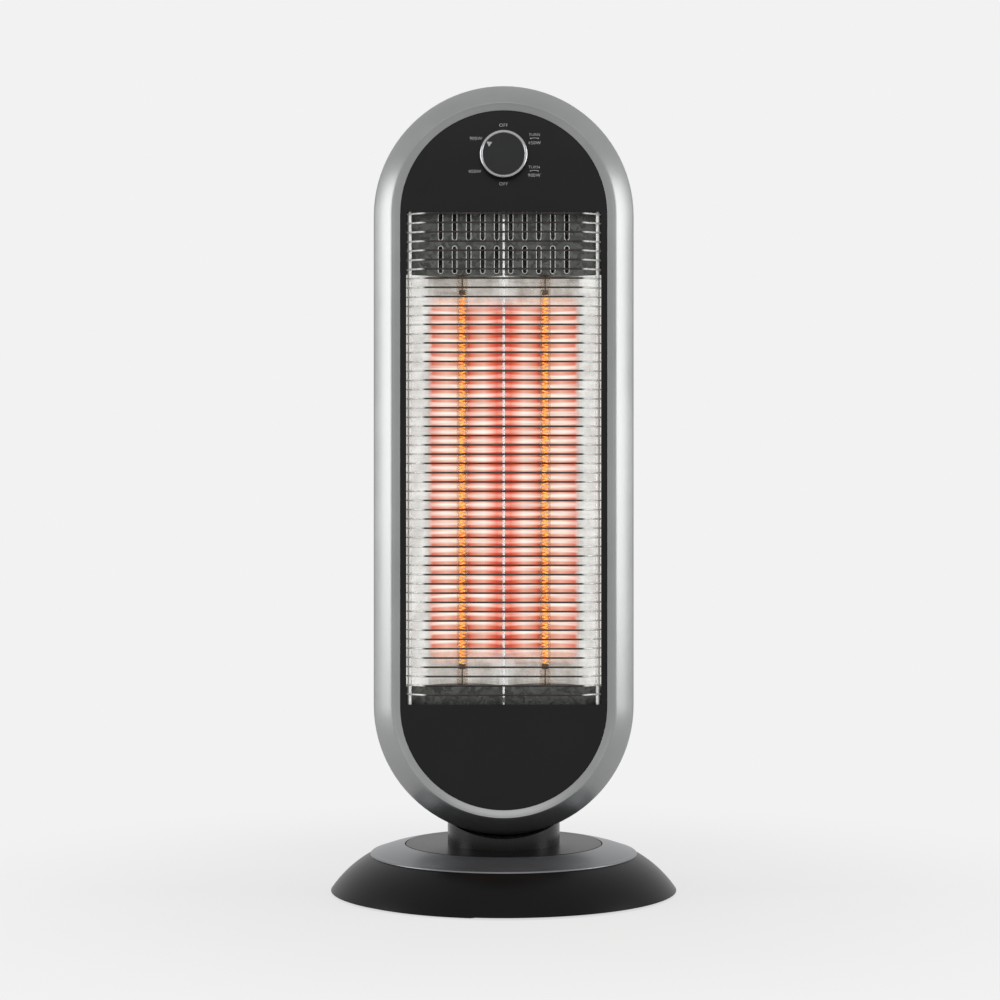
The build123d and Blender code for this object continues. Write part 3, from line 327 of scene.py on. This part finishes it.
finishes = {
    "base_black": surface("base_black", (8, 8, 8), (11, 11, 11),
                          rough=(0.28, 0.36), relief=0.01, specular=0.12),
    "tower_black": surface("tower_black", (14, 14, 14), (18, 18, 18),
                           rough=(0.24, 0.3), relief=0.01, specular=0.3),
    "panel_black": surface("panel_black", (13, 13, 13), (17, 17, 17),
                           rough=(0.18, 0.26), relief=0.04, specular=0.22),
    "frame_silver": surface("frame_silver", (144, 145, 145), (154, 155, 155),
                            rough=(0.30, 0.38), metallic=0.85, grain=2600.0, relief=0.10, depth=0.00004),
    "trim_silver": surface("trim_silver", (112, 114, 117), (122, 124, 127),
                           rough=(0.30, 0.38), metallic=0.85, grain=2600.0, relief=0.10, depth=0.00004),
    "knob_black": surface("knob_black", (22, 23, 23), (30, 31, 31),
                          rough=(0.28, 0.36), relief=0.05, specular=0.25),
    "knob_silver": surface("knob_silver", (148, 149, 150), (164, 165, 166),
                           rough=(0.22, 0.30), metallic=0.9),
    "pointer_grey": surface("pointer_grey", (150, 152, 152), (168, 170, 170),
                            rough=(0.35, 0.45), metallic=0.3),
    "wire_dark": wire_finish(),
    "upright_bright": surface("upright_bright", (224, 224, 221), (244, 244, 242),
                              rough=(0.14, 0.24), metallic=0.6),
    "reflector_bright": reflector_finish(),
    "plate_galvanised": galvanised("plate_galvanised", (62, 64, 62), (108, 110, 106),
                                   patch=240.0, metallic=0.6),
    "shield_galvanised": galvanised("shield_galvanised", (92, 92, 90), (168, 168, 165), patch=90.0),
    "bracket_steel": galvanised("bracket_steel", (110, 110, 108), (176, 176, 173), patch=140.0),
    "quartz_glass": quartz_finish(),
    "carbon_glow": coil_finish(),
    "lead_steel": surface("lead_steel", (70, 66, 62), (118, 112, 106),
                          rough=(0.3, 0.5), metallic=0.9, cloud=120.0),
    "cap_ceramic": surface("cap_ceramic", (84, 81, 76), (104, 100, 94), rough=(0.6, 0.8), relief=0.2),
    "switch_grey": surface("switch_grey", (58, 60, 62), (70, 72, 75), rough=(0.45, 0.6), relief=0.15),
    "terminal_white": surface("terminal_white", (198, 198, 192), (214, 214, 209),
                              rough=(0.45, 0.6), relief=0.12),
    "cutout_black": surface("cutout_black", (26, 26, 27), (36, 36, 37), rough=(0.4, 0.55), relief=0.12),
    "gland_black": surface("gland_black", (24, 24, 25), (33, 33, 34), rough=(0.45, 0.6), relief=0.15),
    "plate_grey": surface("plate_grey", (34, 34, 35), (43, 43, 44),
                          rough=(0.5, 0.65), relief=0.25, grain=500.0),
    "pad_rubber": surface("pad_rubber", (20, 20, 20), (30, 30, 30),
                          rough=(0.7, 0.85), relief=0.3, grain=700.0),
    "slip_white": surface("slip_white", (212, 212, 208), (224, 224, 220), rough=(0.4, 0.5)),
    "carrier_white": surface("carrier_white", (186, 186, 182), (200, 200, 196), rough=(0.45, 0.6)),
    "arm_steel": galvanised("arm_steel", (112, 112, 112), (170, 170, 170), patch=200.0),
    "motor_steel": galvanised("motor_steel", (130, 130, 131), (186, 186, 187), patch=260.0),
    "crank_plastic": surface("crank_plastic", (204, 200, 188), (218, 214, 203), rough=(0.4, 0.5)),
    "shaft_steel": surface("shaft_steel", (150, 150, 152), (180, 180, 182),
                           rough=(0.2, 0.3), metallic=0.95),
    "screw_steel": surface("screw_steel", (132, 132, 134), (166, 166, 168),
                           rough=(0.25, 0.4), metallic=0.95, cloud=300.0),
    "screw_black": surface("screw_black", (24, 24, 25), (40, 40, 42),
                           rough=(0.35, 0.5), metallic=0.8, cloud=300.0),
    "spring_steel": surface("spring_steel", (140, 140, 143), (172, 172, 175),
                            rough=(0.2, 0.35), metallic=0.95),
}

slot_of = {entry["node"]: entry["material_slot"] for entry in frame["record"]["subparts"]}


def dress(obj, slot):
    """Give every material slot of an object one finish."""
    if not obj.data.materials:
        obj.data.materials.append(finishes[slot])
    for material_slot in obj.material_slots:
        material_slot.material = finishes[slot]


for name, obj in nodes.items():
    dress(obj, slot_of[name])


def new_piece(name, mesh, slot, body, replaced=()):
    """Object that shows a mesh, wears a finish and moves with a body."""
    obj = bpy.data.objects.new(name, mesh)
    scene.collection.objects.link(obj)
    dress(obj, slot)
    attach(obj, body)
    if replaced:
        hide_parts(*replaced)
    return obj


def mesh_of(name, verts, faces, smooth_angle=35):
    """Mesh from points in millimetres, smooth except across its sharp edges."""
    mesh = bpy.data.meshes.new(name)
    mesh.from_pydata([Vector(v) * MM for v in verts], [], faces)
    build = bmesh.new()
    build.from_mesh(mesh)
    bmesh.ops.remove_doubles(build, verts=build.verts, dist=1e-7)
    bmesh.ops.recalc_face_normals(build, faces=build.faces)
    for edge in build.edges:
        edge.smooth = len(edge.link_faces) == 2 and edge.calc_face_angle(0) < radians(smooth_angle)
    for face in build.faces:
        face.smooth = True
    build.to_mesh(mesh)
    build.free()
    return mesh


def ring_faces(stations, count):
    """Faces of a closed section repeated at stations round a closed path."""
    faces = []
    for i in range(stations):
        j = (i + 1) % stations
        for k in range(count):
            m = (k + 1) % count
            faces.append((i * count + k, i * count + m, j * count + m, j * count + k))
    return faces


def lathe(name, section, steps=180):
    """Closed section of (radius, height) points turned round the swivel axis."""
    verts = [(r * cos(2 * pi * i / steps), r * sin(2 * pi * i / steps), z)
             for i in range(steps) for r, z in section]
    return mesh_of(name, verts, ring_faces(steps, len(section)))


def stadium_sweep(name, section, steps=48):
    """Closed section of (inset, depth) points carried round the tower's outline."""
    stations = [(pi * i / steps, HIGH_CENTRE) for i in range(steps + 1)]
    stations += [(pi + pi * i / steps, LOW_CENTRE) for i in range(steps + 1)]
    verts = [((TOWER_R - inset) * cos(a), y, centre + (TOWER_R - inset) * sin(a))
             for a, centre in stations for inset, y in section]
    return mesh_of(name, verts, ring_faces(len(stations), len(section)))


def arc_between(start, end, bulge, steps=10):
    """Points of a shallow arc between two points of a section, without its first point."""
    (x0, y0), (x1, y1) = start, end
    length = sqrt((x1 - x0) ** 2 + (y1 - y0) ** 2)
    nx, ny = (y1 - y0) / length, -(x1 - x0) / length
    points = []
    for k in range(1, steps + 1):
        t = k / steps
        lift = 4 * bulge * t * (1 - t)
        points.append((x0 + (x1 - x0) * t + nx * lift, y0 + (y1 - y0) * t + ny * lift))
    return points


def tube(points, radius, sides=10):
    """Verts and faces of a round wire along points in millimetres."""
    points = [Vector(p) for p in points]
    verts, faces = [], []
    for i, point in enumerate(points):
        ahead = points[min(i + 1, len(points) - 1)] - points[max(i - 1, 0)]
        up = Vector((0, 0, 1)) if abs(ahead.normalized().z) < 0.9 else Vector((0, 1, 0))
        side = ahead.cross(up).normalized()
        rise = side.cross(ahead).normalized()
        for k in range(sides):
            a = 2 * pi * k / sides
            verts.append(point + side * (radius * cos(a)) + rise * (radius * sin(a)))
    for i in range(len(points) - 1):
        for k in range(sides):
            m = (k + 1) % sides
            faces.append((i * sides + k, i * sides + m, (i + 1) * sides + m, (i + 1) * sides + k))
    faces.append(tuple(range(sides)))
    faces.append(tuple((len(points) - 1) * sides + k for k in range(sides)))
    return verts, faces


def joined(name, parts):
    """One mesh from several lists of verts and faces."""
    verts, faces = [], []
    for part_verts, part_faces in parts:
        start = len(verts)
        verts += part_verts
        faces += [tuple(index + start for index in face) for face in part_faces]
    return mesh_of(name, verts, faces)


# Silver frame: a satin band that bulges a little, a small step and a lip down to the panel
FRAME_EDGE = (0.8, -27.0)
FRAME_CREST = (16.3, -44.2)
FRAME_BULGE = 0.8
FRAME_STEP = [(16.7, -44.3), (17.1, -44.1), (19.6, -42.0)]
FRAME_LIP = [(22.2, -41.5), (22.4, -41.3), (22.4, PANEL_FRONT), (15.0, PANEL_FRONT)]
FRAME_BACK = [(5.0, -27.6), (5.0, -5.0), (2.8, -5.0), (2.8, -10.0), (0.8, -10.0)]
frame_band = [FRAME_EDGE] + arc_between(FRAME_EDGE, FRAME_CREST, FRAME_BULGE)
frame_section = frame_band + FRAME_STEP + FRAME_LIP + FRAME_BACK
new_piece("frame_ring", stadium_sweep("frame_ring", frame_section), "frame_silver", "tower", ["front_frame"])

# Guard wires: straight across the front, softly bent back to the side rods
WIRE_R = 0.75
WIRE_FLAT_X = 63.4
WIRE_FRONT_Y = -46.0
WIRE_END_X = 77.2
WIRE_END_Y = -36.6
BEND_REACH = 3.0
BEND_STEPS = 6


def wire_points(z):
    slope = (WIRE_END_Y - WIRE_FRONT_Y) / (WIRE_END_X - WIRE_FLAT_X)
    length = sqrt(1 + slope ** 2)
    start = Vector((WIRE_FLAT_X - BEND_REACH, WIRE_FRONT_Y, z))
    knee = Vector((WIRE_FLAT_X, WIRE_FRONT_Y, z))
    end = Vector((WIRE_FLAT_X + BEND_REACH / length, WIRE_FRONT_Y + BEND_REACH * slope / length, z))
    right = []
    for k in range(BEND_STEPS + 1):
        t = k / BEND_STEPS
        right.append(start * (1 - t) ** 2 + knee * 2 * t * (1 - t) + end * t ** 2)
    right.append(Vector((WIRE_END_X, WIRE_END_Y, z)))
    left = [Vector((-p.x, p.y, p.z)) for p in reversed(right)]
    return left + right


wires = [tube(wire_points(WIRE_TOP - k * WIRE_PITCH), WIRE_R) for k in range(WIRE_COUNT)]
new_piece("guard_wire_set", joined("guard_wire_set", wires), "wire_dark", "tower", ["guard_wires"])

# Base: smooth dome and ring in place of the turned solids
BASE_R = 140.0
DOME_R = 90.0
DOME_TOP = (107.8, 30.0)
DOME_WALL = 2.5
DOME_CEILING = 22.0
DOME_STEPS = 24
FOOT_Z = 1.5
RING_SEAT = [(107.2, 28.4), (80.8, 36.6)]
BEARING_LEDGE = [(80.8, 33.0), (73.8, 33.0), (73.8, 30.5), (100.0, DOME_CEILING)]
chord_r, chord_z = BASE_R - DOME_TOP[0], DOME_TOP[1] - FOOT_Z
chord = sqrt(chord_r ** 2 + chord_z ** 2)
to_centre = sqrt(DOME_R ** 2 - (chord / 2) ** 2)
dome_centre = ((BASE_R + DOME_TOP[0]) / 2 - to_centre * chord_z / chord,
               (FOOT_Z + DOME_TOP[1]) / 2 - to_centre * chord_r / chord)


def dome_radius(z, inset=0.0):
    return dome_centre[0] + sqrt((DOME_R - inset) ** 2 - (z - dome_centre[1]) ** 2)


dome_heights = [FOOT_Z + (DOME_TOP[1] - FOOT_Z) * k / DOME_STEPS for k in range(DOME_STEPS + 1)]
dome_section = [(dome_radius(z), z) for z in dome_heights] + RING_SEAT + BEARING_LEDGE
dome_section += [(dome_radius(z, DOME_WALL), z) for z in (DOME_CEILING, FOOT_Z)]
new_piece("base_dome", lathe("base_dome", dome_section), "base_black", "base", ["base_shell"])

RING_IN = (80.2, 38.5)
RING_OUT = (106.2, 31.6)
RING_SAG = -0.9
RING_BORE = [(80.2, 36.6), (80.2, 38.2), (80.5, 38.5)]
RING_LIP = [(107.2, 31.5), (107.9, 31.0), (108.1, 30.5), (108.1, 30.3), DOME_TOP]
ring_section = RING_BORE + arc_between(RING_IN, RING_OUT, RING_SAG) + RING_LIP + RING_SEAT
new_piece("base_ring", lathe("base_ring", ring_section), "trim_silver", "base", ["base_trim_ring"])

# Carbon coils in the tubes
COIL_R = 2.1
COIL_WIRE_R = 0.42
COIL_TURNS = 106
COIL_STEPS = 12


def coil(x, hand):
    count = COIL_TURNS * COIL_STEPS
    points = []
    for i in range(count + 1):
        a = 2 * pi * i / COIL_STEPS * hand
        z = HEAT_LOW + (HEAT_HIGH - HEAT_LOW) * i / count
        points.append((x + COIL_R * cos(a), TUBE_Y + COIL_R * sin(a), z))
    return tube(points, COIL_WIRE_R, 6)


for side, hand in (("left", -1), ("right", 1)):
    mesh = joined(f"coil_{side}", [coil(hand * TUBE_X, hand)])
    new_piece(f"coil_{side}", mesh, "carbon_glow", "tower", [f"filament_{side}"])

# Lettering on the dial, printed on the panel
PRINT_T = 0.04
LETTER_H = 2.7
CAP_SHARE = 0.72
THINNED = -0.06
LETTER_SPACING = 1.12
SMALL = 0.85
DIAL_SHIFT = (-1.0, -1.8)
dial_print = print_finish()


def at_pixel(px, py, depth):
    """Place in metres that the camera sees at a pixel, on a plane of constant depth in millimetres."""
    away = depth * MM - CAMERA_Y
    px, py = px + DIAL_SHIFT[0], py + DIAL_SHIFT[1]
    return ((px - AXIS_PX) * away / FOCAL_PX, depth * MM, CAMERA_Z - (py - HORIZON_PX) * away / FOCAL_PX)


def letter(name, text, px, py, scale=1.0):
    curve = bpy.data.curves.new(name, "FONT")
    curve.body = text
    curve.size = scale * LETTER_H / CAP_SHARE * MM
    curve.align_x = "CENTER"
    curve.align_y = "CENTER"
    curve.extrude = PRINT_T / 2 * MM
    curve.offset = THINNED * MM
    curve.space_character = LETTER_SPACING
    curve.materials.append(dial_print)
    obj = bpy.data.objects.new(name, curve)
    obj.location = at_pixel(px, py, PANEL_FRONT - PRINT_T / 2)
    obj.rotation_euler = (radians(90), 0, 0)
    scene.collection.objects.link(obj)
    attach(obj, "tower")


letter("dial_off_top", "OFF", 504.5, 127.2)
letter("dial_off_bottom", "OFF", 504.5, 185.8)
letter("dial_900_left", "900W", 476.9, 140.4)
letter("dial_450_left", "450W", 475.8, 173.3)
letter("dial_450_right", "450W", 535.4, 144.8)
letter("dial_turn_upper", "TURN", 535.4, 136.6, SMALL)
letter("dial_900_right", "900W", 535.2, 177.2)
letter("dial_turn_lower", "TURN", 535.2, 169.0, SMALL)

# Swing signs: a flat arc with an arrow head at each end
SIGN_R = 9.0
SIGN_DROP = 8.6
SIGN_SPREAD = 22
SIGN_STEP = 4
SIGN_LINE_R = 0.18
SIGN_SIDES = 6
ARROW_BARBS = ((-0.3, 0.8), (-0.9, 0.0))


def swing_sign(name, px, py):
    """Arc and arrow heads of one sign, for the swinging settings."""
    x0, y0, z0 = [value / MM for value in at_pixel(px, py, PANEL_FRONT - PRINT_T)]
    arc = [(x0 + SIGN_R * sin(radians(a)), y0, z0 - SIGN_DROP + SIGN_R * cos(radians(a)))
           for a in range(-SIGN_SPREAD, SIGN_SPREAD + 1, SIGN_STEP)]
    parts = [tube(arc, SIGN_LINE_R, SIGN_SIDES)]
    for hand, tip in ((-1, Vector(arc[0])), (1, Vector(arc[-1]))):
        for aside, up in ARROW_BARBS:
            barb = [tip, tip + Vector((hand * aside, 0, up))]
            parts.append(tube(barb, SIGN_LINE_R, SIGN_SIDES))
    obj = bpy.data.objects.new(name, joined(name, parts))
    obj.data.materials.append(dial_print)
    scene.collection.objects.link(obj)
    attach(obj, "tower")


swing_sign("dial_swing_upper", 535.4, 140.2)
swing_sign("dial_swing_lower", 535.2, 172.6)

# Rolled rims with rounded ends round the slots of the vent plate
SLOT_W = 3.0
SLOT_H = 21.5
SLOT_PITCH = 11.25
SLOT_ROWS = (536.6, 509.9)
SLOTS_PER_ROW = 10
PLATE_Y = -27.0
RIM_SECTION = [(0.0, 0.0), (0.12, -0.4), (0.6, -0.4), (0.8, 0.0)]


def slot_rim(x, z, steps=6):
    straight = (SLOT_H - SLOT_W) / 2
    ends = [(pi * i / steps, straight) for i in range(steps + 1)]
    ends += [(pi + pi * i / steps, -straight) for i in range(steps + 1)]
    verts = [(x + (SLOT_W / 2 + out) * cos(a), PLATE_Y + y, z + shift + (SLOT_W / 2 + out) * sin(a))
             for a, shift in ends for out, y in RIM_SECTION]
    return verts, ring_faces(len(ends), len(RIM_SECTION))


slot_places = [(i - (SLOTS_PER_ROW - 1) / 2) * SLOT_PITCH for i in range(SLOTS_PER_ROW)]
rims = [slot_rim(x, z) for z in SLOT_ROWS for x in slot_places]
new_piece("vent_slot_rims", joined("vent_slot_rims", rims), "upright_bright", "tower")

# Floor: pale, with the object's shadow near it and the plain background further out
FLOOR_CORNERS = [(-4, -3, 0), (4, -3, 0), (4, 6, 0), (-4, 6, 0)]
floor_mesh = bpy.data.meshes.new("floor")
floor_mesh.from_pydata(FLOOR_CORNERS, [], [(0, 1, 2, 3)])
floor = bpy.data.objects.new("floor", floor_mesh)
scene.collection.objects.link(floor)
floor_material, graph = new_material("floor")
pale = graph.add("BsdfDiffuse", Color=graph.drift(graph.noise(6.0, 3.0), (228, 228, 227), (232, 232, 231)))
plain = graph.add("Emission", Color=linear(BACKGROUND), Strength=1.0)
distance = graph.add("VectorMath", {"operation": "LENGTH"}, Vector=graph.place()).outputs["Value"]
far = graph.span(distance, 0.16, 0.6, 0.72, 1.0, smooth=True)
graph.show(graph.blend(graph.math("MULTIPLY", far, graph.background_rays()), pale, plain))
floor.data.materials.append(floor_material)

# World: plain soft light, and the plain background for the rays that see it
world = bpy.data.worlds.new("studio")
scene.world = world
graph = Graph(world)
soft = graph.add("Background", Color=(1, 1, 1, 1), Strength=0.62)
plain = graph.add("Background", Color=linear(BACKGROUND), Strength=1.0)
graph.show(graph.blend(graph.background_rays(), soft, plain), "World")


def softbox(name, place, target, width, height, power):
    lamp = bpy.data.lights.new(name, "AREA")
    lamp.shape = "RECTANGLE"
    lamp.size = width
    lamp.size_y = height
    lamp.energy = power
    obj = bpy.data.objects.new(name, lamp)
    obj.location = place
    obj.rotation_euler = (Vector(target) - Vector(place)).to_track_quat("-Z", "Y").to_euler()
    scene.collection.objects.link(obj)


softbox("softbox_left", (-1.7, -0.1, 0.5), (0, 0, 0.35), width=0.7, height=1.5, power=12)
softbox("softbox_right", (1.7, -0.1, 0.5), (0, 0, 0.35), width=0.7, height=1.5, power=12)
softbox("softbox_front", (0, -2.2, 1.7), (0, 0, 0.3), width=2.0, height=1.4, power=9)

camera_data = bpy.data.cameras.new("camera")
camera_data.sensor_width = SENSOR_MM
camera_data.lens = FOCAL_PX / IMAGE_PX * SENSOR_MM
camera_data.shift_x = (IMAGE_PX / 2 - AXIS_PX) / IMAGE_PX
camera_data.shift_y = (HORIZON_PX - IMAGE_PX / 2) / IMAGE_PX
camera = bpy.data.objects.new("camera", camera_data)
camera.location = (0, CAMERA_Y, CAMERA_Z)
camera.rotation_euler = (radians(90), 0, 0)
scene.collection.objects.link(camera)
scene.camera = camera
scene.view_settings.view_transform = "Standard"
